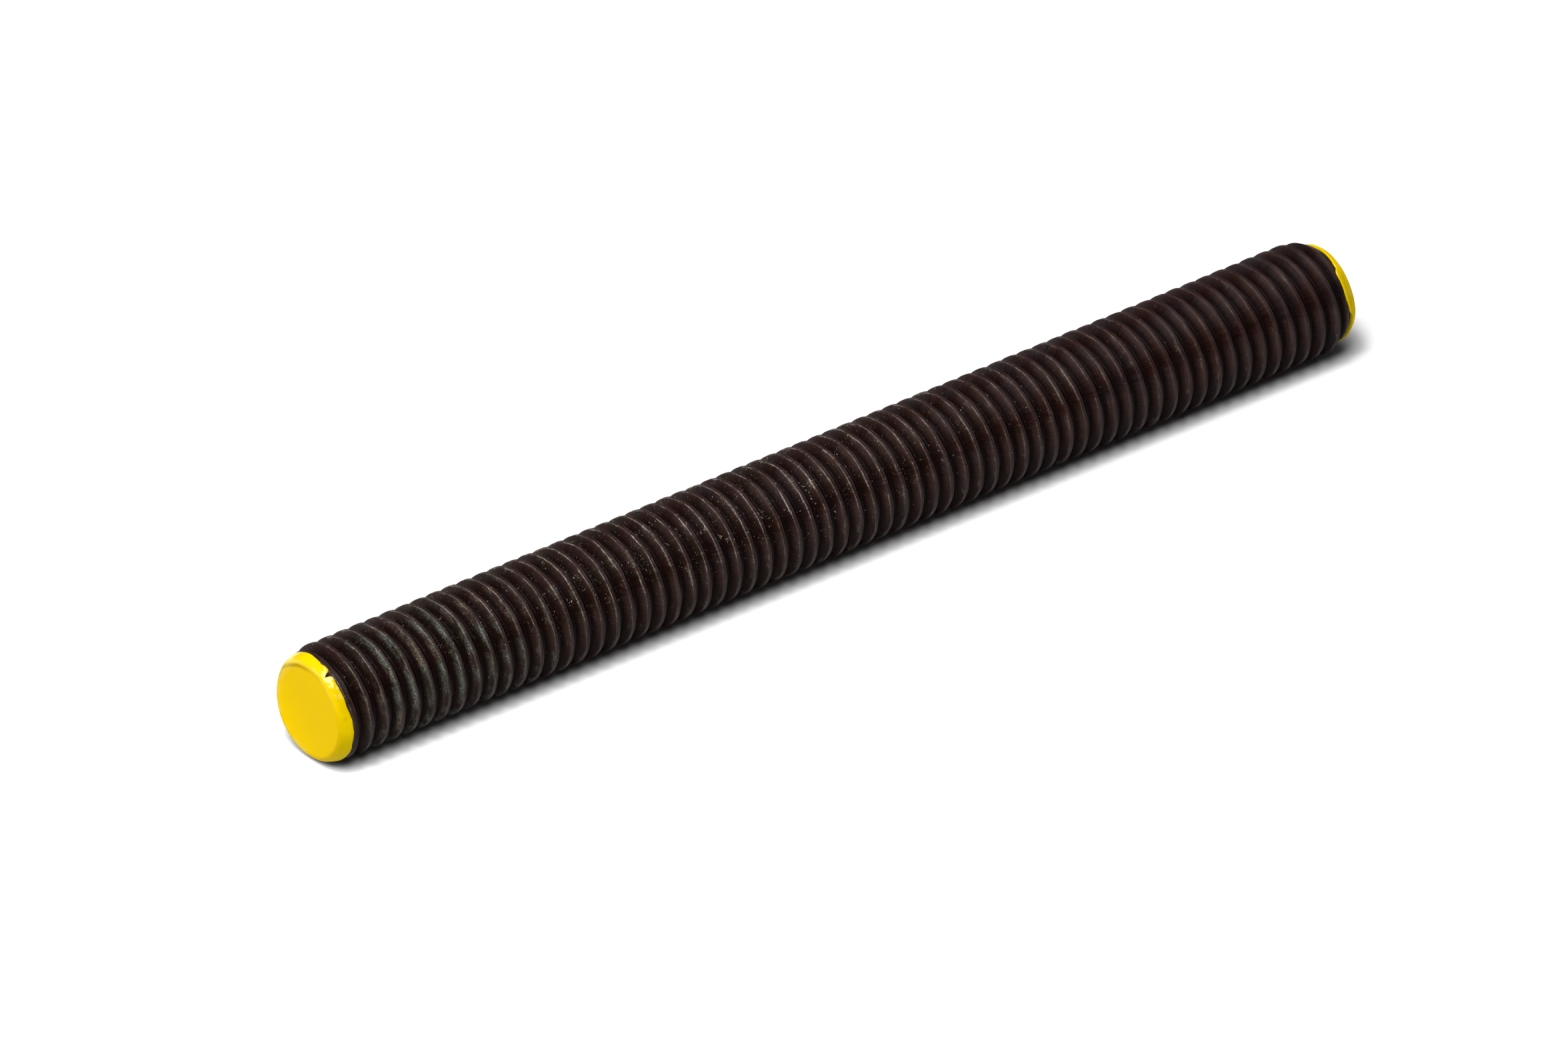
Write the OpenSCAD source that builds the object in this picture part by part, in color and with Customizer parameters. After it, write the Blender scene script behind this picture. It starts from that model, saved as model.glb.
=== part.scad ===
// Threaded rod with painted ends.
// A metric right-hand thread runs from end to end, and a coat of colour-code
// paint covers each end face and its chamfer.
// The rod lies along X, centred over the origin, and rests on Z = 0.

/* [Thread] */
// Nominal diameter of the metric thread
nominal_d = 8; // [7:0.25:12]
// Distance along the rod from one turn to the next
pitch = 1.25; // [1.2:0.05:1.75]
// How much smaller the crests are than the nominal diameter
crest_allowance = 0.1; // [0:0.02:0.24]

/* [Rod] */
// Length of the steel, without the paint
rod_length = 83.6; // [30:0.1:90]
// Length of the chamfer at each end
chamfer_length = 1.1; // [0.6:0.05:1.5]
// How much wider the flat end face is than the root of the thread
face_allowance = 0.24; // [0.1:0.02:0.6]

/* [Paint] */
// Thickness of the paint
paint_thickness = 0.18; // [0.1:0.02:0.24]
// Distance that the paint reaches along the rod, from the end face of the steel
paint_reach = 0.6; // [0.2:0.05:0.6]

/* [Hidden] */

// Basic profile of a 60 degree metric thread, with truncated crests
flank_angle = 30;
crest_r = (nominal_d - crest_allowance) / 2;
root_r = nominal_d / 2 - 0.6134 * pitch;
crest_width = pitch / 8 + crest_allowance * tan(flank_angle);
flank_run = (crest_r - root_r) * tan(flank_angle);
face_r = root_r + face_allowance / 2;
chamfer_slope = (crest_r - face_r) / chamfer_length;

// The surface is laid out in straight columns round the rod, and each column
// meets the same four edges of the thread once in every turn
columns = 20;
edges = [-crest_width / 2, crest_width / 2,
         crest_width / 2 + flank_run, pitch - crest_width / 2 - flank_run];
turns = ceil(rod_length / pitch) + 1;
// No edge point lies closer than this to an end face
end_margin = 0.02 * pitch;

chamfer_tilt = atan(chamfer_slope);
paint_rim_r = face_r + paint_reach * chamfer_slope;
paint_outer_r = paint_rim_r + paint_thickness * cos(chamfer_tilt);

// The rod rests on the flat between two columns, or on thicker paint
axis_height = max(crest_r * cos(180 / columns), paint_outer_r);

function column_angle(c) = 360 * (c + 0.5) / columns;
// Place of edge number e on column c, where the crest starts at the end face
function edge_z(e, c) =
    pitch * (floor(e / 4) + column_angle(c) / 360) + edges[e - 4 * floor(e / 4)];
// Distance from the nearest crest line, along the rod
function crest_offset(z, c) =
    let (t = z / pitch - column_angle(c) / 360)
    pitch * abs(t - floor(t + 0.5));
function thread_r(z, c) =
    max(root_r, crest_r - max(0, crest_offset(z, c) - crest_width / 2) / tan(flank_angle));
function chamfer_r(z) = face_r + chamfer_slope * min(z, rod_length - z);
function surface_r(z, c) = min(thread_r(z, c), chamfer_r(z));
function surface_point(z, c) =
    let (r = surface_r(z, c), a = column_angle(c))
    [r * cos(a), r * sin(a), z];

// Numbers of the edges that cross each column between the two end faces
column_edges = [
    for (c = [0 : columns - 1])
        [for (e = [-8 : 4 * turns])
            if (edge_z(e, c) > end_margin && edge_z(e, c) < rod_length - end_margin) e]
];
// Index of each column's first point, and one more for the end of the list
column_base = [
    for (c = 0, n = 0; c <= columns; n = n + (c < columns ? len(column_edges[c]) + 2 : 0), c = c + 1) n
];

function first_edge(c) = column_edges[c][0];
function last_edge(c) = column_edges[c][len(column_edges[c]) - 1];
function edge_index(e, c) = column_base[c] + 1 + e - first_edge(c);
function near_rim(c) = column_base[c];
function far_rim(c) = column_base[c + 1] - 1;

thread_points = concat(
    [for (c = [0 : columns - 1])
        for (z = concat([0], [for (e = column_edges[c]) edge_z(e, c)], [rod_length]))
            surface_point(z, c)],
    [[0, 0, 0], [0, 0, rod_length]]
);
near_centre = len(thread_points) - 2;
far_centre = len(thread_points) - 1;

// Triangles between column c and the next one, k. Past the last column the
// thread has climbed one whole turn, so its edge numbers move on by four.
function strip(c) =
    let (
        k = (c + 1) % columns,
        step = k == 0 ? 4 : 0,
        low = first_edge(c),
        high = last_edge(k) - step
    )
    concat(
        [for (e = [first_edge(k) : low + step - 1])
            [near_rim(c), edge_index(e, k), edge_index(e + 1, k)]],
        [[near_rim(c), near_rim(k), edge_index(first_edge(k), k)],
         [near_rim(c), edge_index(low + step, k), edge_index(low, c)]],
        [for (e = [low : high - 1], half = [0, 1])
            half == 0
                ? [edge_index(e, c), edge_index(e + step, k), edge_index(e + 1 + step, k)]
                : [edge_index(e, c), edge_index(e + 1 + step, k), edge_index(e + 1, c)]],
        [for (e = [high : last_edge(c) - 1])
            [far_rim(k), edge_index(e + 1, c), edge_index(e, c)]],
        [[far_rim(k), edge_index(high, c), edge_index(high + step, k)],
         [far_rim(k), far_rim(c), edge_index(last_edge(c), c)]],
        [[near_centre, near_rim(k), near_rim(c)],
         [far_centre, far_rim(c), far_rim(k)]]
    );

thread_faces = [
    for (c = [0 : columns - 1]) for (f = strip(c)) [f[0], f[2], f[1]]
];

// Half section of the paint: a coat over the end face and down the chamfer,
// with a rounded corner between them
corner_steps = 4;
paint_section = concat(
    [[0, 0], [0, -paint_thickness]],
    [for (i = [0 : corner_steps])
        let (a = (90 - chamfer_tilt) * (1 - i / corner_steps) + chamfer_tilt)
        [face_r + paint_thickness * cos(a), -paint_thickness * sin(a)]],
    [[paint_outer_r, paint_reach - paint_thickness * sin(chamfer_tilt)],
     [paint_rim_r, paint_reach],
     [face_r, 0]]
);

// Lays a rod-shaped thing, drawn upwards from the origin, in its place
module lay_down() {
    translate([-rod_length / 2, 0, axis_height]) rotate([0, 90, 0]) children();
}

module threaded_rod() {
    color("#2e2624") lay_down() polyhedron(points = thread_points, faces = thread_faces);
}

module end_paint() {
    rotate_extrude($fn = 96) polygon(paint_section);
}

module near_end_paint() {
    color("#f2dc00") lay_down() end_paint();
}

module far_end_paint() {
    color("#f2dc00") lay_down() translate([0, 0, rod_length]) mirror([0, 0, 1]) end_paint();
}

threaded_rod();
near_end_paint();
far_end_paint();
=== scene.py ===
# Looks of a short length of blackened threaded rod with yellow painted ends
import math
import bmesh
import bpy
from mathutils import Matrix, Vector, noise


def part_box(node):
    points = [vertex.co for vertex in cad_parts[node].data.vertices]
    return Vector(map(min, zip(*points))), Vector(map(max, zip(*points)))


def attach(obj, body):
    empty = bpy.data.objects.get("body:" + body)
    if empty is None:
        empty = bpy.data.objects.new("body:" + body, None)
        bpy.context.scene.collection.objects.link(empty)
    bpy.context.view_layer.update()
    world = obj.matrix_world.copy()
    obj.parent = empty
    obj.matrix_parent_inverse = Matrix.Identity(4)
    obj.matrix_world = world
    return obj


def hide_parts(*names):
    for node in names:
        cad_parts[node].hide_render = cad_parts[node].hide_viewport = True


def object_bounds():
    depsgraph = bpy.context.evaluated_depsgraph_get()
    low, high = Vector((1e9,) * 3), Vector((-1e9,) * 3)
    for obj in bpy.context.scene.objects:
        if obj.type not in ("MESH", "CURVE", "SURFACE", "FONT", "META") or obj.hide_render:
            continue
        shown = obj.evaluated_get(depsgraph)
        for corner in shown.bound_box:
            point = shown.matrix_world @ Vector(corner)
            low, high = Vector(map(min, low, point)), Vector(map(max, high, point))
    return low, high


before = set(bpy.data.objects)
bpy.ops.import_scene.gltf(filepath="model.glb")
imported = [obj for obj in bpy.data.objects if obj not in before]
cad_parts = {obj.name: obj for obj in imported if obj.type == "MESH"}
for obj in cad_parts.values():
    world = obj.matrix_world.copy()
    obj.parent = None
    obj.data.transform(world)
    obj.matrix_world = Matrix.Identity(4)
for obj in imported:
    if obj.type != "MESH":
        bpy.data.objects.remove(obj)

cadLow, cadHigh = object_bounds()  # the CAD box, before anything is dressed
rodLow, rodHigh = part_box("threaded_rod")
print("frame loaded")

mm = 0.001
nearSteel = rodLow.x  # where the steel's end faces are
farSteel = rodHigh.x
steelLength = farSteel - nearSteel
axisHeight = (rodLow.z + rodHigh.z) / 2


# Shared tools

def toLinear(hexColour):
    # An sRGB hex colour as linear red, green, blue and a full alpha
    channels = [int(hexColour[i:i + 2], 16) / 255 for i in (1, 3, 5)]
    linear = [c / 12.92 if c <= 0.04045 else ((c + 0.055) / 1.055) ** 2.4 for c in channels]
    return (*linear, 1.0)


def addNode(tree, kind, settings=None, links=None):
    # A setting is a ramp's stops, an attribute of the node, or the value of an input
    node = tree.nodes.new(kind)
    for name, value in (settings or {}).items():
        if isinstance(value, str) and value.startswith("#"):
            value = toLinear(value)
        if name == "stops":
            elements = node.color_ramp.elements
            while len(elements) < len(value):
                elements.new(0.5)
            for element, (place, colour) in zip(elements, value):
                element.position = place
                element.color = toLinear(colour)
        elif isinstance(name, str) and hasattr(node, name):
            setattr(node, name, value)
        else:
            node.inputs[name].default_value = value
    for name, source in (links or {}).items():
        if isinstance(source, bpy.types.Node):
            source = source.outputs[0]
        tree.links.new(source, node.inputs[name])
    return node


def startMaterial(name):
    material = bpy.data.materials.new(name)
    material.use_nodes = True
    tree = material.node_tree
    tree.nodes.clear()
    return material, tree


def smoothStep(low, high, value):
    # 0 at low and 1 at high, smooth between them; low may be the larger of the two
    share = min(1.0, max(0.0, (value - low) / (high - low)))
    return share * share * (3 - 2 * share)


def softMin(first, second, blendWidth):
    # The lower of the two, rounded off where they are less than blendWidth apart
    share = max(0.0, blendWidth - abs(first - second)) / blendWidth
    return min(first, second) - share * share * blendWidth / 4


def makeObject(name, mesh, material):
    obj = bpy.data.objects.new(name, mesh)
    bpy.context.scene.collection.objects.link(obj)
    mesh.materials.append(material)
    mesh.shade_smooth()
    return obj


def roundPoint(along, radius, turn):
    # Turn 0 is the underside, 0.25 the back, 0.5 the top and 0.75 the front
    angle = 2 * math.pi * turn
    return Vector((along, radius * math.sin(angle), axisHeight - radius * math.cos(angle)))


def fromTurn(turn, place):
    # How far a turn is from a place, the short way round
    return (turn - place + 0.5) % 1.0 - 0.5


# Camera: a long lens far from the rod, above its left front

view = {
    "azimuth": 36.956,  # degrees from +Y toward +X
    "elevation": 33.222,  # degrees above the horizon
    "distance": 1597.19 * mm,
    "focalPixels": 36226.3,  # focal length, in pixels of the photo
    "photoWidth": 2352,  # pixels
    "sensorWidth": 36,  # millimetres
    "stepRight": -2.487 * mm,  # how far the camera stands off the line through the rod's middle
    "stepUp": -1.665 * mm,
    "clipStart": 0.05,  # metres
    "clipEnd": 50,
}


def buildCamera():
    azimuth = math.radians(view["azimuth"])
    elevation = math.radians(view["elevation"])
    forward = Vector((math.sin(azimuth) * math.cos(elevation),
                      math.cos(azimuth) * math.cos(elevation),
                      -math.sin(elevation)))
    right = Vector((math.cos(azimuth), -math.sin(azimuth), 0))
    upward = right.cross(forward)
    middle = Vector(((nearSteel + farSteel) / 2, 0, axisHeight))
    data = bpy.data.cameras.new("camera")
    data.sensor_width = view["sensorWidth"]
    data.lens = view["focalPixels"] / view["photoWidth"] * view["sensorWidth"]
    data.clip_start = view["clipStart"]
    data.clip_end = view["clipEnd"]
    camera = bpy.data.objects.new("camera", data)
    camera.location = (middle - forward * view["distance"]
                       + right * view["stepRight"] + upward * view["stepUp"])
    camera.rotation_euler = forward.to_track_quat("-Z", "Y").to_euler()
    bpy.context.scene.collection.objects.link(camera)
    bpy.context.scene.camera = camera


buildCamera()
print("camera placed")


# Studio: a white table under an overhead soft box, with its lamp showing as a brighter
# middle, and a weaker card off the near end

studio = {
    "tableSize": 40.0,  # metres
    "tableColour": "#bcbcbc",
    "tableSeen": 1.3,  # how white the table looks, where 1 is white
    "surroundColour": "#ffffff",
    "surroundStrength": 0.02,
}
lamps = {  # size and place in metres, power in watts
    "softBox": {"size": 0.54, "place": (-0.28, -0.12, 0.64), "power": 6.1},
    "lampCore": {"size": 0.11, "place": (-0.20, -0.11, 0.61), "power": 0.90},
    "sideCard": {"size": 0.30, "place": (-0.60, 0.30, 0.32), "power": 0.85},
}


def whiteCard():
    # Matt white card, which shows only soft shade: plain white to the camera and in
    # reflections, and greyer as a light on the rod
    material, tree = startMaterial("whiteCard")
    rays = addNode(tree, "ShaderNodeLightPath")
    seen = rays.outputs["Is Camera Ray"]
    for kind in ("Is Glossy Ray", "Is Transmission Ray"):
        seen = addNode(tree, "ShaderNodeMath", {"operation": "MAXIMUM"}, {0: seen, 1: rays.outputs[kind]})
    white = (studio["tableSeen"],) * 3 + (1.0,)
    colour = addNode(tree, "ShaderNodeMix", {"data_type": "RGBA", 6: studio["tableColour"], 7: white},
                     {0: seen}).outputs[2]
    card = addNode(tree, "ShaderNodeBsdfDiffuse", links={"Color": colour})
    addNode(tree, "ShaderNodeOutputMaterial", links={"Surface": card})
    return material


def buildTable(level):
    half = studio["tableSize"] / 2
    corners = [(-half, -half, level), (half, -half, level), (half, half, level), (-half, half, level)]
    mesh = bpy.data.meshes.new("table")
    mesh.from_pydata(corners, [], [(0, 1, 2, 3)])
    makeObject("table", mesh, whiteCard())


def buildSurround():
    world = bpy.data.worlds.new("surround")
    bpy.context.scene.world = world
    world.use_nodes = True
    tree = world.node_tree
    tree.nodes.clear()
    surround = addNode(tree, "ShaderNodeBackground",
                       {"Color": studio["surroundColour"], "Strength": studio["surroundStrength"]})
    addNode(tree, "ShaderNodeOutputWorld", links={"Surface": surround})


def hangLamps():
    for name, lamp in lamps.items():
        data = bpy.data.lights.new(name, "AREA")
        data.shape = "SQUARE"
        data.size = lamp["size"]
        data.energy = lamp["power"]
        obj = bpy.data.objects.new(name, data)
        obj.location = lamp["place"]
        obj.rotation_euler = obj.location.to_track_quat("Z", "Y").to_euler()  # faces the rod
        bpy.context.scene.collection.objects.link(obj)


# Threaded rod: rolled thread with rounded crests, which stand up a little at their two lips

rod = {
    "pitch": 1.25 * mm,
    "threadStart": -0.02,  # where the first crest lies, as a share of the pitch
    "crestRadius": 3.95 * mm,
    "rootRadius": 3.233 * mm,
    "threadHeight": 0.717,  # from root to crest, in millimetres
    "faceRadius": 3.353 * mm,
    "chamferLength": 1.1 * mm,
    "halfLength": 42,  # from the middle to either end, in millimetres, rounded
    "columns": 74,  # straight divisions round the rod
    "spareTurns": (2, 1),  # turns past the near and the far end, which are cut off
    "cutTolerance": 1e-8,  # metres
    "runOutBlend": 0.05 * mm,  # how softly the thread fades into the chamfer
    "noisePerTurn": 25.0,  # millimetres of thread in one turn, rounded, for the wave and wander
    "crestWave": 0.032 * mm,  # how much the crests rise and fall
    "wavesPerMm": 0.55,
    "wavesAcross": 3.0,  # how often the wave changes across one turn
    "waveSeed": 4.0,
    "crestWander": 0.042 * mm,  # how much the crests wander to and fro
    "wandersPerMm": 0.9,
    "wanderSeeds": (7.0, 1.0),
    # Colours
    "redBrown": "#27120e",
    # painted shade for the roots and the underside
    "oliveBrown": "#1e1309",
    "purpleBrown": "#231719",
    "shadeBlack": "#060202",
    "crestColour": "#382a2a",
    "lipColour": "#b8b1a6",  # steel rubbed bare along the lips, its lightness partly a painted highlight
    "bloomGreen": "#747e74",  # oxide
    "bloomBeige": "#877b66",  # dried oil
    "sheenColour": "#544540",  # painted reflection of the table on the lower half, and painted sheen higher up
    "dustColour": "#beb6a0",
    # Sizes of the patterns, in millimetres
    "tonePatch": 2.4,
    "bloomLength": 1.7,
    "bloomWidth": 0.35,
    "strokeGap": 0.11,  # scores across the flanks
    "strokeLength": 0.8,
    "rollGap": 0.07,  # lines that the rollers left along the turn, really half as wide
    "rollLength": 2.5,
    "grainSize": 0.08,  # the scale's grain, really finer
    "dustGrain": 0.12,
    "dustSharpness": 20,  # how hard the edge of a grain is
    "wornLength": 1.6,  # lengths of lip that are worn or not
    "wornWidth": 0.625,
    # Gloss and relief
    "specular": 0.07,
    "roughness": (0.44, 0.62),  # between the scores and on them
    "rubbedSleeker": 0.12,
    "lipMetal": 0.7,  # how metallic the bare lips are
    "reliefDepth": 0.018 * mm,
    "strokeRelief": 0.35,
    "bloomRelief": 0.9,
    "grainRelief": 0.3,
    "dustRelief": 1.0,
}
# Section of one turn: place across the turn as a share of the pitch, from root
# to root, and height above the root in millimetres
threadSection = [
    (0.000, 0.000), (0.050, 0.006), (0.095, 0.040), (0.132, 0.108), (0.210, 0.288), (0.275, 0.440),
    (0.320, 0.545), (0.352, 0.620), (0.377, 0.672), (0.396, 0.702), (0.414, 0.712), (0.440, 0.704),
    (0.505, 0.698), (0.565, 0.707), (0.590, 0.712), (0.612, 0.697), (0.637, 0.645), (0.685, 0.525),
    (0.865, 0.110), (0.945, 0.010),
]
turnLength = 2 * math.pi * rod["crestRadius"] / mm  # round a crest, in millimetres
chamferSlope = (rod["crestRadius"] - rod["faceRadius"]) / rod["chamferLength"]


def chamferRadius(along):
    return rod["faceRadius"] + chamferSlope * min(along, steelLength - along)


def threadPoint(turnNumber, column, step):
    # The crest is in the middle of its section, so a turn starts half a pitch before it
    turn = column / rod["columns"]
    place, height = threadSection[step]
    along = rod["pitch"] * (turnNumber + turn + place - 0.5 + rod["threadStart"])
    distance = (turnNumber + turn) * rod["noisePerTurn"]
    waveSpot = Vector((distance * rod["wavesPerMm"], place * rod["wavesAcross"], rod["waveSeed"]))
    wave = rod["crestWave"] * height / rod["threadHeight"] * noise.noise(waveSpot)
    wanderSpot = Vector((distance * rod["wandersPerMm"], *rod["wanderSeeds"]))
    along += rod["crestWander"] * height / rod["threadHeight"] * noise.noise(wanderSpot)
    radius = rod["rootRadius"] + height * mm + wave
    radius = softMin(radius, chamferRadius(along), rod["runOutBlend"])
    return roundPoint(nearSteel + along, radius, turn)


def rollThread():
    # The thread as one strip, which winds on past both ends. After the last column it
    # joins the first one a whole turn further on.
    columns = rod["columns"]
    steps = len(threadSection)
    sparesNear, sparesFar = rod["spareTurns"]
    turnCount = math.ceil(steelLength / rod["pitch"]) + sparesFar + sparesNear
    rows = turnCount * steps
    points = [threadPoint(row // steps - sparesNear, column, row % steps)
              for column in range(columns) for row in range(rows)]
    faces = []
    places = []  # distance along the thread, and place across it, at each corner of each face
    for column in range(columns):
        onward = (column + 1) % columns
        shift = steps if onward == 0 else 0
        for row in range(rows - 1 - shift):
            faces.append((column * rows + row, onward * rows + row + shift,
                          onward * rows + row + shift + 1, column * rows + row + 1))
            number, step = divmod(row, steps)
            low = threadSection[step][0]
            high = threadSection[step + 1][0] if step + 1 < steps else 1.0
            start = (number + column / columns) * turnLength
            end = (number + (column + 1) / columns) * turnLength
            places.extend([(start, low), (end, low), (end, high), (start, high)])
    mesh = bpy.data.meshes.new("threadedSteel")
    mesh.from_pydata(points, [], faces)
    uvLayer = mesh.uv_layers.new(name="alongThread")
    uvLayer.data.foreach_set("uv", [number for place in places for number in place])
    return mesh


def cutToLength(mesh):
    shape = bmesh.new()
    shape.from_mesh(mesh)
    for end, outward in ((nearSteel, -1), (farSteel, 1)):
        everything = shape.verts[:] + shape.edges[:] + shape.faces[:]
        cut = bmesh.ops.bisect_plane(shape, geom=everything, dist=rod["cutTolerance"],
                                     plane_co=(end, 0, 0), plane_no=(outward, 0, 0), clear_outer=True)
        rim = [item for item in cut["geom_cut"] if isinstance(item, bmesh.types.BMEdge)]
        bmesh.ops.edgeloop_fill(shape, edges=rim)
    bmesh.ops.recalc_face_normals(shape, faces=shape.faces[:])
    shape.to_mesh(mesh)
    shape.free()


def buildRod(material):
    mesh = rollThread()
    cutToLength(mesh)
    return makeObject("threadedSteel", mesh, material)


# The rod's finish, in layers. Across the thread, 0 and 1 are roots and the crest lies from
# 0.4 to 0.6; X, Y and Z are millimetres along the rod, towards the back, and up.

def threadMaps(tree):
    # Where a point lies on the thread and on the rod
    uv = addNode(tree, "ShaderNodeUVMap", {"uv_map": "alongThread"})
    thread = addNode(tree, "ShaderNodeSeparateXYZ", links={0: uv})
    turn = addNode(tree, "ShaderNodeMath", {"operation": "DIVIDE", 1: turnLength},
                   {0: thread.outputs["X"]})
    turn = addNode(tree, "ShaderNodeMath", {"operation": "FRACT"}, {0: turn})
    position = addNode(tree, "ShaderNodeTexCoord").outputs["Object"]
    inMm = addNode(tree, "ShaderNodeVectorMath", {"operation": "SCALE", "Scale": 1 / mm}, {0: position})
    place = addNode(tree, "ShaderNodeSeparateXYZ", links={0: inMm})
    lengthwise = addNode(tree, "ShaderNodeMapRange",  # 0 at the near end, 1 at the far end
                         {"From Min": -rod["halfLength"], "From Max": rod["halfLength"]},
                         {"Value": place.outputs["X"]})
    crest = addNode(tree, "ShaderNodeValToRGB",
                    {"stops": [(0.32, "#000000"), (0.39, "#ffffff"), (0.60, "#ffffff"), (0.66, "#000000")]},
                    {"Fac": thread.outputs["Y"]})
    handled = addNode(tree, "ShaderNodeValToRGB",  # most wear and grit a third of the way along
                      {"stops": [(0.08, "#b4b4b4"), (0.32, "#e6e6e6"), (0.46, "#e6e6e6"),
                                 (0.80, "#6c6c6c"), (0.95, "#3c3c3c")]},
                      {"Fac": lengthwise})
    return {"uv": uv, "across": thread.outputs["Y"], "turn": turn, "inMm": inMm, "place": place,
            "lengthwise": lengthwise, "crest": crest, "handled": handled}


def steelPatterns(tree, maps):
    # Noise at each pattern's real size, drawn out along or across the thread, or even
    patterns = {}
    drawnOut = {  # size along the thread and across it, detail and roughness
        "strokes": (rod["strokeGap"], rod["strokeLength"], 3, 0.6),
        "rolls": (rod["rollLength"], rod["rollGap"], 2, 0.6),
        "patches": (rod["bloomLength"], rod["bloomWidth"], 4, 0.65),
        "wornLengths": (rod["wornLength"], rod["wornWidth"], 4, 0.7),
    }
    for name, (along, across, detail, roughness) in drawnOut.items():
        scaled = addNode(tree, "ShaderNodeMapping", {"Scale": (1 / along, rod["pitch"] / mm / across, 1)},
                         {"Vector": maps["uv"]})
        patterns[name] = addNode(tree, "ShaderNodeTexNoise",
                                 {"Scale": 1, "Detail": detail, "Roughness": roughness},
                                 {"Vector": scaled})
    even = {  # size, detail and roughness
        "grain": (rod["grainSize"], 3, 0.65),
        "tones": (rod["tonePatch"], 4, 0.6),
    }
    for name, (size, detail, roughness) in even.items():
        patterns[name] = addNode(tree, "ShaderNodeTexNoise",
                                 {"Scale": 1 / size, "Detail": detail, "Roughness": roughness},
                                 {"Vector": maps["inMm"]})
    farness = addNode(tree, "ShaderNodeMapRange",  # the tones turn purple towards the far end
                      {"From Min": -30, "From Max": rod["halfLength"], "To Min": -0.06, "To Max": 0.10},
                      {"Value": maps["place"].outputs["X"]})
    patterns["tones"] = addNode(tree, "ShaderNodeMath", {"operation": "ADD"},
                                {0: patterns["tones"], 1: farness})
    return patterns


def flankTones(tree, maps):
    # Red, olive and purple browns, and painted shade: near black in the roots, low on the flanks and on the
    # underside
    browns = addNode(tree, "ShaderNodeValToRGB",
                     {"stops": [(0.36, rod["oliveBrown"]), (0.50, rod["redBrown"]),
                                (0.64, rod["purpleBrown"])]},
                     {"Fac": maps["tones"]})
    # painted shade in the roots and low on the flanks
    root = addNode(tree, "ShaderNodeValToRGB",
                   {"stops": [(0.06, "#f4f4f4"), (0.22, "#c0c0c0"), (0.38, "#000000"),
                              (0.68, "#000000"), (0.90, "#f4f4f4")]},
                   {"Fac": maps["across"]})
    # painted shade on the underside
    under = addNode(tree, "ShaderNodeValToRGB",
                    {"stops": [(0.00, "#b0b0b0"), (0.20, "#000000"), (0.75, "#000000"),
                               (0.84, "#c8c8c8"), (1.00, "#b0b0b0")]},
                    {"Fac": maps["turn"]})
    paintedShade = addNode(tree, "ShaderNodeMath", {"operation": "MAXIMUM"}, {0: root, 1: under})
    colour = addNode(tree, "ShaderNodeMix", {"data_type": "RGBA", 7: rod["shadeBlack"]},
                     {0: paintedShade, 6: browns})
    mottle = addNode(tree, "ShaderNodeMath", {"operation": "ADD"},
                     {0: maps["grain"], 1: maps["strokes"]})
    mottle = addNode(tree, "ShaderNodeMapRange",
                     {"From Min": 0.72, "From Max": 1.28, "To Min": 0.30, "To Max": 1.95},
                     {"Value": mottle})
    colour = addNode(tree, "ShaderNodeMix", {"data_type": "RGBA", "blend_type": "MULTIPLY", 0: 1.0},
                     {6: colour.outputs[2], 7: mottle})
    return colour.outputs[2]


def rubbedCrests(tree, maps):
    # Rubbed in fine lines along the turn
    lines = addNode(tree, "ShaderNodeMapRange",
                    {"interpolation_type": "SMOOTHSTEP", "From Min": 0.40, "From Max": 0.66},
                    {"Value": maps["rolls"]})
    return addNode(tree, "ShaderNodeMath", {"operation": "MULTIPLY"}, {0: maps["crest"], 1: lines})


def crestTicks(tree, maps):
    # Short scratches across the crests, where they face up
    ticks = addNode(tree, "ShaderNodeMapRange",
                    {"interpolation_type": "SMOOTHSTEP", "From Min": 0.62, "From Max": 0.74},
                    {"Value": maps["strokes"]})
    upward = addNode(tree, "ShaderNodeMapRange",
                     {"interpolation_type": "SMOOTHSTEP", "From Min": 3.0, "From Max": 5.5,
                      "To Min": 0.05, "To Max": 0.42},
                     {"Value": maps["place"].outputs["Z"]})
    for share in (maps["crest"], upward, maps["handled"]):
        ticks = addNode(tree, "ShaderNodeMath", {"operation": "MULTIPLY"}, {0: ticks, 1: share})
    return ticks


def paintedSheen(tree, maps):
    # Painted reflection and sheen: a dull lilac grey on the near shoulder of the crests, in one band on the
    # lower front and another higher up, which fades out towards the near end
    shoulder = addNode(tree, "ShaderNodeValToRGB",
                       {"stops": [(0.14, "#000000"), (0.36, "#ffffff"), (0.44, "#ffffff"),
                                  (0.56, "#000000")]},
                       {"Fac": maps["across"]})
    lowBand = addNode(tree, "ShaderNodeValToRGB",
                      {"stops": [(0.67, "#000000"), (0.70, "#a0a0a0"), (0.74, "#b0b0b0"),
                                 (0.81, "#000000")]},
                      {"Fac": maps["turn"]})
    highBand = addNode(tree, "ShaderNodeValToRGB",
                       {"stops": [(0.50, "#000000"), (0.54, "#b4b4b4"), (0.59, "#b8b8b8"),
                                  (0.65, "#000000")]},
                       {"Fac": maps["turn"]})
    beyond = addNode(tree, "ShaderNodeMapRange",
                     {"From Min": -36, "From Max": 0, "To Min": 0.3, "To Max": 0.9},
                     {"Value": maps["place"].outputs["X"]})
    highBand = addNode(tree, "ShaderNodeMath", {"operation": "MULTIPLY"}, {0: highBand, 1: beyond})
    bands = addNode(tree, "ShaderNodeMath", {"operation": "ADD"}, {0: lowBand, 1: highBand})
    streaks = addNode(tree, "ShaderNodeMapRange", {"From Min": 0.3, "From Max": 0.65, "To Min": 0.45},
                      {"Value": maps["rolls"]})
    sheen = shoulder
    for share in (bands, streaks):
        sheen = addNode(tree, "ShaderNodeMath", {"operation": "MULTIPLY"}, {0: sheen, 1: share})
    return sheen


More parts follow.
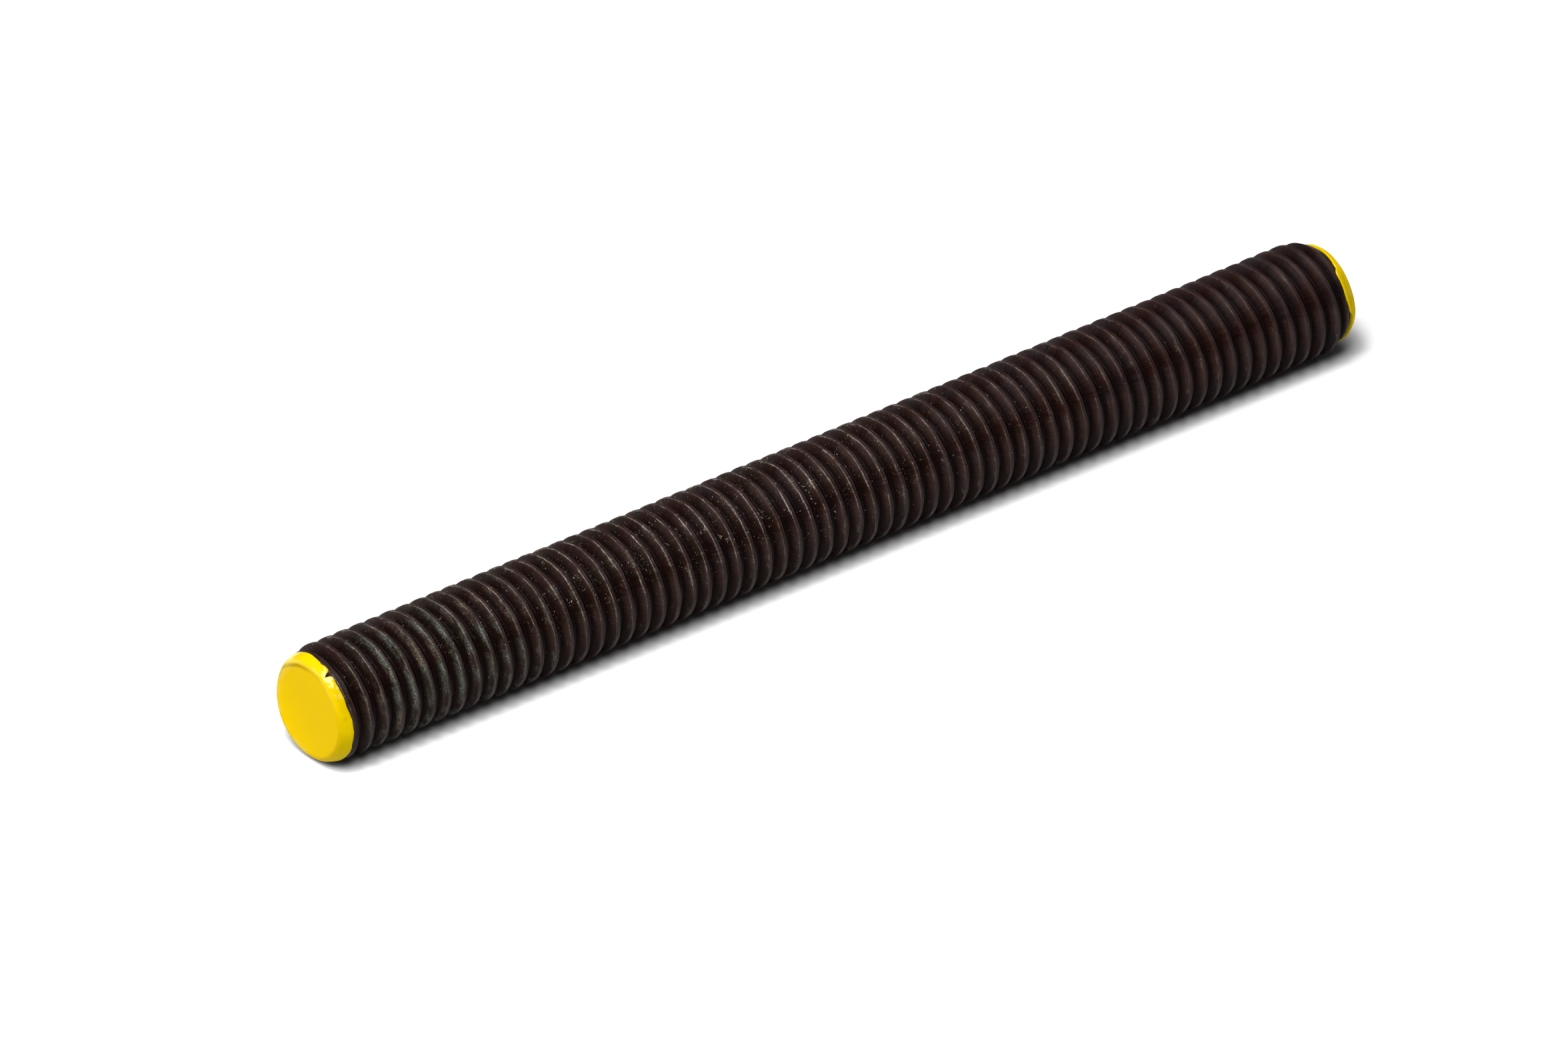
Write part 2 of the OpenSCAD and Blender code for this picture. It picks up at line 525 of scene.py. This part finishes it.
def oxideBloom(tree, maps):
    # Along the near side of the crests in broken streaks, most of it in the first turns
    bloom = addNode(tree, "ShaderNodeValToRGB",
                    {"stops": [(0.22, "#000000"), (0.33, "#ffffff"), (0.42, "#ffffff"), (0.56, "#000000")]},
                    {"Fac": maps["across"]})
    nearness = addNode(tree, "ShaderNodeValToRGB",
                       {"stops": [(0.02, "#101010"), (0.05, "#ffffff"), (0.14, "#e0e0e0"),
                                  (0.24, "#6a6a6a"), (1.00, "#303030")]},
                       {"Fac": maps["lengthwise"]})
    spread = addNode(tree, "ShaderNodeMath", {"operation": "MULTIPLY_ADD", 1: 0.22},
                     {0: nearness, 2: maps["patches"]})
    spread = addNode(tree, "ShaderNodeMapRange",
                     {"interpolation_type": "SMOOTHSTEP", "From Min": 0.56, "From Max": 0.84},
                     {"Value": spread})
    broken = addNode(tree, "ShaderNodeMapRange",
                     {"interpolation_type": "SMOOTHSTEP", "From Min": 0.44, "From Max": 0.58,
                      "To Min": 0.12, "To Max": 1.0},
                     {"Value": maps["grain"]})
    frontward = addNode(tree, "ShaderNodeMapRange",
                        {"From Min": -1.6, "From Max": 0.4, "To Min": 1, "To Max": 0.15},
                        {"Value": maps["place"].outputs["Y"]})
    for share in (spread, broken, frontward):
        bloom = addNode(tree, "ShaderNodeMath", {"operation": "MULTIPLY"}, {0: bloom, 1: share})
    colour = addNode(tree, "ShaderNodeValToRGB",
                     {"stops": [(0.45, rod["bloomGreen"]), (0.55, rod["bloomBeige"])]},
                     {"Fac": maps["tones"]})
    return bloom, colour


def wornLipsAndHighlight(tree, maps):
    # Rubbed bare in broken, wandering lengths; their light colour, the near lip brighter and most on what
    # faces up, is partly a painted highlight
    wander = addNode(tree, "ShaderNodeMath", {"operation": "MULTIPLY_ADD", 1: 0.20, 2: -0.10},
                     {0: maps["patches"]})
    wander = addNode(tree, "ShaderNodeMath", {"operation": "ADD"}, {0: wander, 1: maps["across"]})
    lips = addNode(tree, "ShaderNodeValToRGB",
                   {"stops": [(0.376, "#000000"), (0.394, "#ffffff"), (0.408, "#ffffff"),
                              (0.430, "#000000"), (0.575, "#000000"), (0.592, "#888888"),
                              (0.612, "#000000")]},
                   {"Fac": wander})
    worn = addNode(tree, "ShaderNodeMapRange",
                   {"interpolation_type": "SMOOTHSTEP", "From Min": 0.40, "From Max": 0.62,
                    "To Min": 0.10},
                   {"Value": maps["wornLengths"]})
    chipped = addNode(tree, "ShaderNodeMapRange", {"From Min": 0.42, "From Max": 0.58, "To Min": 0.35},
                      {"Value": maps["strokes"]})
    # painted highlight: the lips lighter on what faces up
    upper = addNode(tree, "ShaderNodeMapRange", {"From Min": 3.6, "From Max": 6.3, "To Min": 0.22},
                    {"Value": maps["place"].outputs["Z"]})
    for share in (worn, chipped, upper, maps["handled"]):
        lips = addNode(tree, "ShaderNodeMath", {"operation": "MULTIPLY"}, {0: lips, 1: share})
    return lips


def settledDust(tree, maps):
    # A few grains, on what faces up, and clusters of finer grit that the oil holds
    dust = addNode(tree, "ShaderNodeTexNoise",
                   {"Scale": 1 / rod["dustGrain"], "Detail": 2, "Roughness": 0.6, "Distortion": 0.6},
                   {"Vector": maps["inMm"]})
    level = addNode(tree, "ShaderNodeMapRange",
                    {"From Min": 2.5, "From Max": 6.0, "To Min": 0.77, "To Max": 0.70},
                    {"Value": maps["place"].outputs["Z"]})
    sparser = addNode(tree, "ShaderNodeMapRange",
                      {"From Min": 15, "From Max": rod["halfLength"], "To Max": 0.06},
                      {"Value": maps["place"].outputs["X"]})
    level = addNode(tree, "ShaderNodeMath", {"operation": "ADD"}, {0: level, 1: sparser})
    clusters = addNode(tree, "ShaderNodeMapRange",
                       {"interpolation_type": "SMOOTHSTEP", "From Min": 0.46, "From Max": 0.62,
                        "To Max": 0.115},
                       {"Value": maps["patches"]})
    clusters = addNode(tree, "ShaderNodeMath", {"operation": "MULTIPLY"},
                       {0: clusters, 1: maps["handled"]})
    level = addNode(tree, "ShaderNodeMath", {"operation": "SUBTRACT"}, {0: level, 1: clusters})
    dust = addNode(tree, "ShaderNodeMath", {"operation": "SUBTRACT"}, {0: dust, 1: level})
    dust = addNode(tree, "ShaderNodeMath",
                   {"operation": "MULTIPLY", 1: rod["dustSharpness"], "use_clamp": True}, {0: dust})
    faint = addNode(tree, "ShaderNodeMapRange", {"From Min": 0.38, "From Max": 0.66, "To Min": 0.12},
                    {"Value": maps["strokes"]})
    return addNode(tree, "ShaderNodeMath", {"operation": "MULTIPLY"}, {0: dust, 1: faint})


def blackenedSteel():
    # Rolled and blackened steel: brown-black and dull on the flanks, with painted shade near black in the
    # roots and on the underside, rubbed to bare steel along the lips under a painted highlight, a painted
    # reflection and sheen on the crests' shoulders, and dried oil, oxide bloom and dust
    material, tree = startMaterial("blackenedSteel")
    maps = threadMaps(tree)
    maps.update(steelPatterns(tree, maps))
    rubbed = rubbedCrests(tree, maps)
    ticks = crestTicks(tree, maps)
    sheen = paintedSheen(tree, maps)
    bloom, bloomColour = oxideBloom(tree, maps)
    lips = wornLipsAndHighlight(tree, maps)
    dust = settledDust(tree, maps)

    colour = flankTones(tree, maps)
    for layer, over in ((rubbed, "crestColour"), (ticks, "lipColour"), (sheen, "sheenColour")):
        colour = addNode(tree, "ShaderNodeMix", {"data_type": "RGBA", 7: rod[over]},
                         {0: layer, 6: colour}).outputs[2]
    colour = addNode(tree, "ShaderNodeMix", {"data_type": "RGBA"},
                     {0: bloom, 6: colour, 7: bloomColour}).outputs[2]
    for layer, over in ((lips, "lipColour"), (dust, "dustColour")):
        colour = addNode(tree, "ShaderNodeMix", {"data_type": "RGBA", 7: rod[over]},
                         {0: layer, 6: colour}).outputs[2]

    metallic = addNode(tree, "ShaderNodeMath", {"operation": "MULTIPLY", 1: rod["lipMetal"]}, {0: lips})
    sleek, dull = rod["roughness"]
    rough = addNode(tree, "ShaderNodeMapRange",
                    {"From Min": 0.3, "From Max": 0.7, "To Min": sleek, "To Max": dull},
                    {"Value": maps["strokes"]})
    rough = addNode(tree, "ShaderNodeMath", {"operation": "MULTIPLY_ADD", 1: -rod["rubbedSleeker"]},
                    {0: rubbed, 2: rough})
    height = rubbed
    for layer, weight in ((maps["strokes"], rod["strokeRelief"]), (bloom, rod["bloomRelief"]),
                          (maps["grain"], rod["grainRelief"]), (dust, rod["dustRelief"])):
        height = addNode(tree, "ShaderNodeMath", {"operation": "MULTIPLY_ADD", 1: weight},
                         {0: layer, 2: height})
    bump = addNode(tree, "ShaderNodeBump", {"Strength": 1.0, "Distance": rod["reliefDepth"]},
                   {"Height": height})
    steel = addNode(tree, "ShaderNodeBsdfPrincipled", {"Specular IOR Level": rod["specular"]},
                    {"Base Color": colour, "Metallic": metallic, "Roughness": rough, "Normal": bump})
    addNode(tree, "ShaderNodeOutputMaterial", links={"Surface": steel})
    return material


steelRod = buildRod(blackenedSteel())
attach(steelRod, "root")
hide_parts("threaded_rod")
print("thread rolled")


# Paint on the ends: dipped enamel, which sagged to the underside and stops in a ragged edge.
# Places round the rod are turns, with 0 at the underside and 0.5 at the top.

paint = {
    "columns": 180,
    "faceThickness": 0.18 * mm,
    "sideThickness": 0.17 * mm,
    "edgeThickness": 0.09 * mm,
    "backCorner": 0.50 * mm,  # radius of the corner between face and side
    "frontCorner": 0.30 * mm,
    "frontPlace": 0.64,  # the middle of the sharper corner, and how far it reaches and fades
    "frontReach": 0.10,
    "frontFade": 0.22,
    "noseRadius": 0.07 * mm,  # of the rounded edge where the paint stops
    "noseTuck": 0.9,  # how far along the nose its inner edge lies
    "shortestSide": 0.02 * mm,
    "innerRadius": 3.15 * mm,  # inside the steel, under the thread's root
    "innerDepth": 0.05 * mm,  # how far the inside lies past the steel's end face
    "crestGap": 0.005 * mm,  # how far the coat stays under the crests
    "crestBlend": 0.08 * mm,
    # Unevenness
    "edgeRagged": ((0.05 * mm, 3.0), (0.03 * mm, 9.0)),  # depth, and how often it changes
    "sideUneven": (0.03 * mm, 4.0),
    "unevenFrom": (0.1, 0.5),  # millimetres from the face over which this comes in
    "faceUneven": (0.010 * mm, 0.7),
    "sagWidth": 0.15,
    "sagTaper": 0.55,  # how much less of the sag is left at the edge
    "backSag": 0.3,  # a second, smaller sag, as a share of the first
    "backSagPlace": 0.20,
    "backSagWidth": 0.09,
    "bulgePlace": 0.13,
    "bulgeWidth": 0.14,
    # Rings of points on a profile
    "faceRings": (0.25, 0.5, 0.7, 0.85, 0.95),  # as shares of the flat face's radius
    "cornerSteps": 7,
    "sideSteps": 10,
    "noseSteps": 3,
    # Colours
    "yellow": "#f9cf00",
    "olive": "#937a00",  # painted shade in the crease at the corner
    "darkerYellow": "#d6ba00",  # a darker yellow on the front of the side
    "litLemon": "#ffdc00",  # painted light lower down on the side
    # painted reflection along the back rim of the face
    "reflectedRim": "#f3dc6a",
    # painted highlights on the upper edge of the near coat
    "paleGlint": "#f6edb0",
    "grime": "#8a7322",
    # Sizes of the patterns, in millimetres
    "rippleSize": 1.6,
    "scuffSize": 0.8,
    "grimeSize": 0.12,
    # Gloss and relief
    "specular": 0.015,
    "roughness": 0.35,
    "skinRoughness": 0.10,
    "reliefDepth": 0.05 * mm,
    "cornerSink": 0.3,  # how much lower the shaded crease at the corner lies than a ripple
}
nearCoat = {
    "thicker": 0.0,  # extra thickness of the whole face
    "edge": [  # place, and distance from the face to where the paint stops
        (0.00, 0.74 * mm), (0.40, 0.72 * mm), (0.66, 0.71 * mm), (0.73, 0.93 * mm), (0.92, 0.95 * mm),
    ],
    "notches": [  # place, half width as a share of a turn, depth
        (0.530, 0.007, 0.08 * mm),
        (0.5705, 0.0055, 0.46 * mm),
    ],
    "sag": 0.34 * mm,  # most extra thickness, and the place where it hangs
    "sagPlace": 0.01,
    "bulge": 0.25 * mm,  # most extra thickness of the face, low at the back
    "lumps": [  # place, distance from the face, half width round the rod and along it, height
        (0.545, 0.54 * mm, 0.36 * mm, 0.18 * mm, 0.100 * mm),
        (0.604, 0.42 * mm, 0.42 * mm, 0.17 * mm, 0.100 * mm),
        (0.562, 0.16 * mm, 0.26 * mm, 0.12 * mm, 0.050 * mm),
        (0.588, 0.24 * mm, 0.13 * mm, 0.10 * mm, 0.050 * mm),
        (0.613, 0.27 * mm, 0.12 * mm, 0.09 * mm, 0.050 * mm),
        (0.627, 0.44 * mm, 0.13 * mm, 0.10 * mm, 0.055 * mm),
        (0.641, 0.30 * mm, 0.10 * mm, 0.09 * mm, 0.040 * mm),
        (0.650, 0.55 * mm, 0.30 * mm, 0.14 * mm, 0.045 * mm),
        (0.460, 0.45 * mm, 0.50 * mm, 0.18 * mm, 0.040 * mm),
        (0.705, 0.42 * mm, 0.14 * mm, 0.12 * mm, 0.060 * mm),
    ],
    "seed": 3.0,
}
farCoat = {
    "thicker": 0.30 * mm,
    "edge": [
        (0.00, 0.50 * mm), (0.30, 0.48 * mm), (0.47, 0.32 * mm), (0.52, 0.42 * mm), (0.585, 0.60 * mm),
        (0.610, 0.86 * mm), (0.690, 0.84 * mm), (0.728, 0.66 * mm), (0.770, 0.32 * mm), (0.82, 0.26 * mm),
    ],
    "notches": [(0.590, 0.008, 0.06 * mm)],
    "sag": 0.30 * mm,
    "sagPlace": 0.88,
    "bulge": 0.06 * mm,
    "lumps": [(0.600, 0.30 * mm, 0.40 * mm, 0.15 * mm, 0.040 * mm)],
    "seed": 11.0,
}


def paintEdge(coat, turn):
    # Distance from the outer face to where the paint stops
    marks =coat["edge"] + [(coat["edge"][0][0] + 1, coat["edge"][0][1])]
    for (low, before), (high, after) in zip(marks, marks[1:]):
        if low <= turn <= high:
            edge = before + (after - before) * smoothStep(low, high, turn)
    angle = 2 * math.pi * turn
    ring = Vector((math.cos(angle), math.sin(angle), coat["seed"]))
    edge += sum(depth * noise.noise(ring * often) for depth, often in paint["edgeRagged"])
    for place, halfWidth, depth in coat["notches"]:
        edge -= depth * math.exp(-((turn - place) / halfWidth) ** 2)
    return edge


def paintSag(coat, turn):
    main = coat["sag"] * math.exp(-(fromTurn(turn, coat["sagPlace"]) / paint["sagWidth"]) ** 2)
    aside = fromTurn(turn, paint["backSagPlace"]) / paint["backSagWidth"]
    return main + paint["backSag"] * coat["sag"] * math.exp(-aside ** 2)


def sideRadius(coat, turn, edge, along):
    # Outer radius of the coat's side, at a distance from its outer face
    share = min(1.0, along / edge)
    thickness = paint["sideThickness"] + (paint["edgeThickness"] - paint["sideThickness"]) * share
    angle = 2 * math.pi * turn
    ring = Vector((math.cos(angle), math.sin(angle), coat["seed"] + along / mm))
    depth, often = paint["sideUneven"]
    thickness += depth * noise.noise(ring * often) * smoothStep(*paint["unevenFrom"], along / mm)
    thickness += paintSag(coat, turn) * (1 - paint["sagTaper"] * share)
    for place, middle, halfRound, halfAlong, height in coat["lumps"]:
        roundward = fromTurn(turn, place) * 2 * math.pi * rod["faceRadius"] / halfRound
        thickness += height * math.exp(-roundward ** 2 - ((along - middle) / halfAlong) ** 2)
    fromSteel = along - paint["faceThickness"] - coat["thicker"]
    radius = rod["faceRadius"] + chamferSlope * fromSteel + thickness
    return softMin(radius, rod["crestRadius"] - paint["crestGap"], paint["crestBlend"])


def paintProfile(coat, turn):
    # (distance from the paint's outer face, radius) pairs, from near the middle of the
    # face, over the corner, side and nose, to the inside of the coat
    slant = math.atan(chamferSlope)
    edge = paintEdge(coat, turn)
    front = smoothStep(paint["frontFade"], paint["frontReach"], abs(fromTurn(turn, paint["frontPlace"])))
    corner = paint["backCorner"] + (paint["frontCorner"] - paint["backCorner"]) * front
    cornerEnd = corner * (1 - math.sin(slant))
    cornerCentre = sideRadius(coat, turn, edge, cornerEnd) - corner * math.cos(slant)
    low = fromTurn(turn, paint["bulgePlace"]) / paint["bulgeWidth"]
    bulge = coat["bulge"] * math.exp(-low ** 2)
    profile = [(-bulge * share ** 3, cornerCentre * share) for share in paint["faceRings"]]
    for step in range(paint["cornerSteps"] + 1):
        share = step / paint["cornerSteps"]
        swing = (math.pi / 2 - slant) * step / paint["cornerSteps"]
        lift = bulge * (1 - smoothStep(0.3, 1.0, share))
        profile.append((corner * (1 - math.cos(swing)) - lift, cornerCentre + corner * math.sin(swing)))
    nose = paint["noseRadius"]
    stop = max(edge - nose, cornerEnd + paint["shortestSide"])
    for step in range(1, paint["sideSteps"] + 1):
        along = cornerEnd + (stop - cornerEnd) * step / paint["sideSteps"]
        profile.append((along, sideRadius(coat, turn, edge, along)))
    stopRadius = sideRadius(coat, turn, edge, stop)
    for step in range(1, paint["noseSteps"] + 1):
        swing = math.pi / 2 * step / paint["noseSteps"]
        profile.append((stop + nose * math.sin(swing), stopRadius - nose * (1 - math.cos(swing))))
    profile.append((stop + nose * paint["noseTuck"], paint["innerRadius"]))
    profile.append((paint["faceThickness"] + coat["thicker"] + paint["innerDepth"], paint["innerRadius"]))
    return profile


def fromCorner(profile):
    # Distance along the profile from the middle of the corner to each point, in millimetres
    travelled = [0.0]
    for before, after in zip(profile, profile[1:]):
        travelled.append(travelled[-1] + math.dist(before, after) / mm)
    cornerMiddle = len(paint["faceRings"]) + paint["cornerSteps"] / 2
    low = int(cornerMiddle)
    atCorner = travelled[low] + (travelled[low + 1] - travelled[low]) * (cornerMiddle - low)
    return [length - atCorner for length in travelled]


def paintPoints(coat, rings, outerFace, direction):
    # The profiles set round the rod, a little uneven as dipped paint is
    points = []
    depth, often = paint["faceUneven"]
    for column, profile in enumerate(rings):
        for along, radius in profile:
            point = roundPoint(0, radius, column / len(rings))
            dip = depth * noise.noise(Vector((point.y, point.z, coat["seed"] * mm)) / mm * often)
            point.x = outerFace + direction * (along + dip - coat["thicker"])
            points.append(point)
    return points


def buildPaint(name, coat, outerFace, direction, material):
    columns = paint["columns"]
    rings = [paintProfile(coat, column / columns) for column in range(columns)]
    lengths = [fromCorner(profile) for profile in rings]
    steps = len(rings[0])
    points = paintPoints(coat, rings, outerFace, direction)
    faces = []
    places = []  # turn round the rod, and distance from the corner, at each corner of each face
    for column in range(columns):
        onward = (column + 1) % columns
        start, end = column / columns, (column + 1) / columns
        for step in range(steps - 1):
            faces.append((column * steps + step, column * steps + step + 1,
                          onward * steps + step + 1, onward * steps + step))
            places.extend([(start, lengths[column][step]), (start, lengths[column][step + 1]),
                           (end, lengths[onward][step + 1]), (end, lengths[onward][step])])
    # The outer face and the inside are closed by fans of triangles round a middle point
    middleLength = -3.5  # the middle of the face, in millimetres from the corner
    for step, along in ((0, -coat["thicker"]), (steps - 1, paint["faceThickness"] + paint["innerDepth"])):
        middle = len(points)
        points.append(Vector((outerFace + direction * along, 0, axisHeight)))
        for column in range(columns):
            start, end = column / columns, (column + 1) / columns
            faces.append((middle, column * steps + step, (column + 1) % columns * steps + step))
            places.extend([(start, middleLength), (start, lengths[column][step]),
                           (end, lengths[column][step])])
    mesh = bpy.data.meshes.new(name)
    mesh.from_pydata(points, [], faces)
    uvLayer = mesh.uv_layers.new(name="fromCorner")
    uvLayer.data.foreach_set("uv", [number for place in places for number in place])
    shape = bmesh.new()
    shape.from_mesh(mesh)
    bmesh.ops.recalc_face_normals(shape, faces=shape.faces[:])
    shape.to_mesh(mesh)
    shape.free()
    return makeObject(name, mesh, material)


# The paint's finish. Over the coat, 0 is the middle of the corner, less is the face and
# more is the side, in millimetres.

def coatMaps(tree):
    position = addNode(tree, "ShaderNodeTexCoord").outputs["Object"]
    inMm = addNode(tree, "ShaderNodeVectorMath", {"operation": "SCALE", "Scale": 1 / mm}, {0: position})
    uv = addNode(tree, "ShaderNodeUVMap", {"uv_map": "fromCorner"})
    uv = addNode(tree, "ShaderNodeSeparateXYZ", links={0: uv})
    maps = {"turn": uv.outputs["X"], "over": uv.outputs["Y"],
            "place": addNode(tree, "ShaderNodeSeparateXYZ", links={0: inMm})}
    patterns = {
        "ripple": {"Scale": 1 / paint["rippleSize"], "Detail": 2},
        "scuffs": {"Scale": 1 / paint["scuffSize"], "Detail": 4, "Roughness": 0.65},
        "specks": {"Scale": 1 / paint["grimeSize"], "Detail": 2, "Distortion": 0.5},
    }
    for name, settings in patterns.items():
        maps[name] = addNode(tree, "ShaderNodeTexNoise", settings, {"Vector": inMm})
    return maps


def creaseShade(tree, maps):
    # Painted shade along the crease of the corner: a wandering line, which lies lower on the face and is
    # deepest where the coat folded at the top, and breaks up where the paint pooled
    wander = addNode(tree, "ShaderNodeMath", {"operation": "MULTIPLY_ADD", 1: 0.25},
                     {0: maps["scuffs"], 2: maps["over"]})
    fold = addNode(tree, "ShaderNodeValToRGB",
                   {"stops": [(0.34, "#404040"), (0.42, "#ffffff"), (0.50, "#ffffff"), (0.61, "#000000")]},
                   {"Fac": maps["turn"]})
    wander = addNode(tree, "ShaderNodeMath", {"operation": "MULTIPLY_ADD", 1: 0.34}, {0: fold, 2: wander})
    corner = addNode(tree, "ShaderNodeMapRange", {"From Min": -1.0, "From Max": 1.0}, {"Value": wander})
    corner = addNode(tree, "ShaderNodeValToRGB",
                     {"stops": [(0.45, "#000000"), (0.52, "#d8d8d8"), (0.56, "#d8d8d8"), (0.65, "#000000")]},
                     {"Fac": corner})
    sides = addNode(tree, "ShaderNodeValToRGB",
                    {"stops": [(0.22, "#303030"), (0.33, "#ffffff"), (0.44, "#ffffff"),
                               (0.54, "#909090"), (0.88, "#808080"), (0.95, "#303030")]},
                    {"Fac": maps["turn"]})
    pooled = addNode(tree, "ShaderNodeMapRange", {"From Min": 0.38, "From Max": 0.56, "To Min": 0.42},
                     {"Value": maps["ripple"]})
    for share in (sides, pooled):
        corner = addNode(tree, "ShaderNodeMath", {"operation": "MULTIPLY"}, {0: corner, 1: share})
    return corner


def frontDarker(tree, maps):
    # The front of the side, in a darker yellow
    side =addNode(tree, "ShaderNodeMapRange", {"From Min": 0.0, "From Max": 0.35, "To Max": 0.7},
                   {"Value": maps["over"]})
    front = addNode(tree, "ShaderNodeValToRGB",
                    {"stops": [(0.58, "#000000"), (0.64, "#ffffff"), (0.70, "#ffffff"), (0.78, "#202020")]},
                    {"Fac": maps["turn"]})
    return addNode(tree, "ShaderNodeMath", {"operation": "MULTIPLY"}, {0: side, 1: front})


def lowerSideLight(tree, maps):
    # Lower down on the side, lighter: painted light that stands in for light from the white table
    side =addNode(tree, "ShaderNodeMapRange", {"From Min": 0.0, "From Max": 0.30},
                   {"Value": maps["over"]})
    lower = addNode(tree, "ShaderNodeValToRGB",
                    {"stops": [(0.68, "#000000"), (0.76, "#ffffff"), (0.92, "#ffffff"), (0.98, "#000000")]},
                    {"Fac": maps["turn"]})
    return addNode(tree, "ShaderNodeMath", {"operation": "MULTIPLY"}, {0: side, 1: lower})


def paintedRimReflection(tree, maps):
    # A pale, broken band along the back rim of the face: a painted reflection of the table on the rounded
    # corner
    reflectedRim = addNode(tree, "ShaderNodeMapRange",
                      {"interpolation_type": "SMOOTHSTEP", "From Min": 0.40, "From Max": 0.70,
                       "To Max": 0.6},
                      {"Value": maps["scuffs"]})
    rim = addNode(tree, "ShaderNodeValToRGB",
                  {"stops": [(0.10, "#ffffff"), (0.36, "#ffffff"), (0.46, "#202020"), (0.90, "#202020")]},
                  {"Fac": maps["turn"]})
    band = addNode(tree, "ShaderNodeMapRange", {"From Min": -0.75, "From Max": 0.25},
                   {"Value": maps["over"]})
    band = addNode(tree, "ShaderNodeValToRGB",
                   {"stops": [(0.10, "#000000"), (0.45, "#ffffff"), (0.75, "#ffffff"), (0.95, "#000000")]},
                   {"Fac": band})
    for share in (rim, band):
        reflectedRim = addNode(tree, "ShaderNodeMath", {"operation": "MULTIPLY"}, {0: reflectedRim, 1: share})
    return reflectedRim


def paintedGlints(tree, maps):
    # Painted highlights: pale spots on the upper edge of the near coat
    paleGlint = addNode(tree, "ShaderNodeMapRange",
                   {"interpolation_type": "SMOOTHSTEP", "From Min": 0.47, "From Max": 0.60,
                    "To Max": 0.85},
                   {"Value": maps["scuffs"]})
    highest = addNode(tree, "ShaderNodeValToRGB",
                      {"stops": [(0.50, "#000000"), (0.54, "#ffffff"), (0.61, "#ffffff"),
                                 (0.65, "#000000")]},
                      {"Fac": maps["turn"]})
    edgeBand = addNode(tree, "ShaderNodeMapRange", {"From Min": 0.12, "From Max": 0.42},
                       {"Value": maps["over"]})
    nearOnly = addNode(tree, "ShaderNodeMath", {"operation": "LESS_THAN", 1: 0.0}, {0: maps["place"]})
    for share in (highest, edgeBand, nearOnly):
        paleGlint = addNode(tree, "ShaderNodeMath", {"operation": "MULTIPLY"}, {0: paleGlint, 1: share})
    return paleGlint


def wetSkin(tree, maps):
    # A clear gloss on the upper side; elsewhere handling has dulled it
    side = addNode(tree, "ShaderNodeMapRange", {"From Min": -0.25, "From Max": 0.15},
                   {"Value": maps["over"]})
    top = addNode(tree, "ShaderNodeValToRGB",
                  {"stops": [(0.30, "#000000"), (0.42, "#ffffff"), (0.62, "#ffffff"), (0.69, "#000000")]},
                  {"Fac": maps["turn"]})
    return addNode(tree, "ShaderNodeMath", {"operation": "MULTIPLY"}, {0: side, 1: top})


def yellowEnamel():
    # Dipped gloss enamel: opaque warm yellow with slow ripples, painted shade along the corner's crease, a
    # darker front, painted light lower on the side, painted highlights and a painted reflection on the rims,
    # and grime where the end has been handled
    material, tree = startMaterial("yellowEnamel")
    maps = coatMaps(tree)
    corner = creaseShade(tree, maps)
    grime = addNode(tree, "ShaderNodeMapRange", {"From Min": 0.73, "From Max": 0.80, "To Max": 0.7},
                    {"Value": maps["specks"]})
    layers = {"darkerYellow": frontDarker(tree, maps), "litLemon": lowerSideLight(tree, maps),
              "reflectedRim": paintedRimReflection(tree, maps), "paleGlint": paintedGlints(tree, maps), "grime": grime}

    colour = addNode(tree, "ShaderNodeMix", {"data_type": "RGBA", 6: paint["yellow"], 7: paint["olive"]},
                     {0: corner}).outputs[2]
    for over, layer in layers.items():
        colour = addNode(tree, "ShaderNodeMix", {"data_type": "RGBA", 7: paint[over]},
                         {0: layer, 6: colour}).outputs[2]
    height = addNode(tree, "ShaderNodeMath", {"operation": "MULTIPLY_ADD", 1: -paint["cornerSink"]},
                     {0: corner, 2: maps["ripple"]})
    bump = addNode(tree, "ShaderNodeBump", {"Strength": 1.0, "Distance": paint["reliefDepth"]},
                   {"Height": height})
    enamel = addNode(tree, "ShaderNodeBsdfPrincipled",
                     {"IOR": 1.5, "Specular IOR Level": paint["specular"],
                      "Roughness": paint["roughness"], "Coat Roughness": paint["skinRoughness"]},
                     {"Base Color": colour, "Coat Weight": wetSkin(tree, maps),
                      "Normal": bump, "Coat Normal": bump})
    addNode(tree, "ShaderNodeOutputMaterial", links={"Surface": enamel})
    return material


enamel = yellowEnamel()
nearPaint = buildPaint("nearEndPaint", nearCoat, cadLow.x, 1, enamel)
farPaint = buildPaint("farEndPaint", farCoat, cadHigh.x, -1, enamel)
for piece, node in ((nearPaint, "near_end_paint"), (farPaint, "far_end_paint")):
    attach(piece, "root")
    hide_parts(node)
    piece.visible_diffuse = False  # keeps a yellow glow off the white table
print("ends painted")

buildTable(axisHeight - rod["crestRadius"])
buildSurround()
hangLamps()
bpy.context.scene.view_settings.view_transform = "Standard"
print("studio lit")
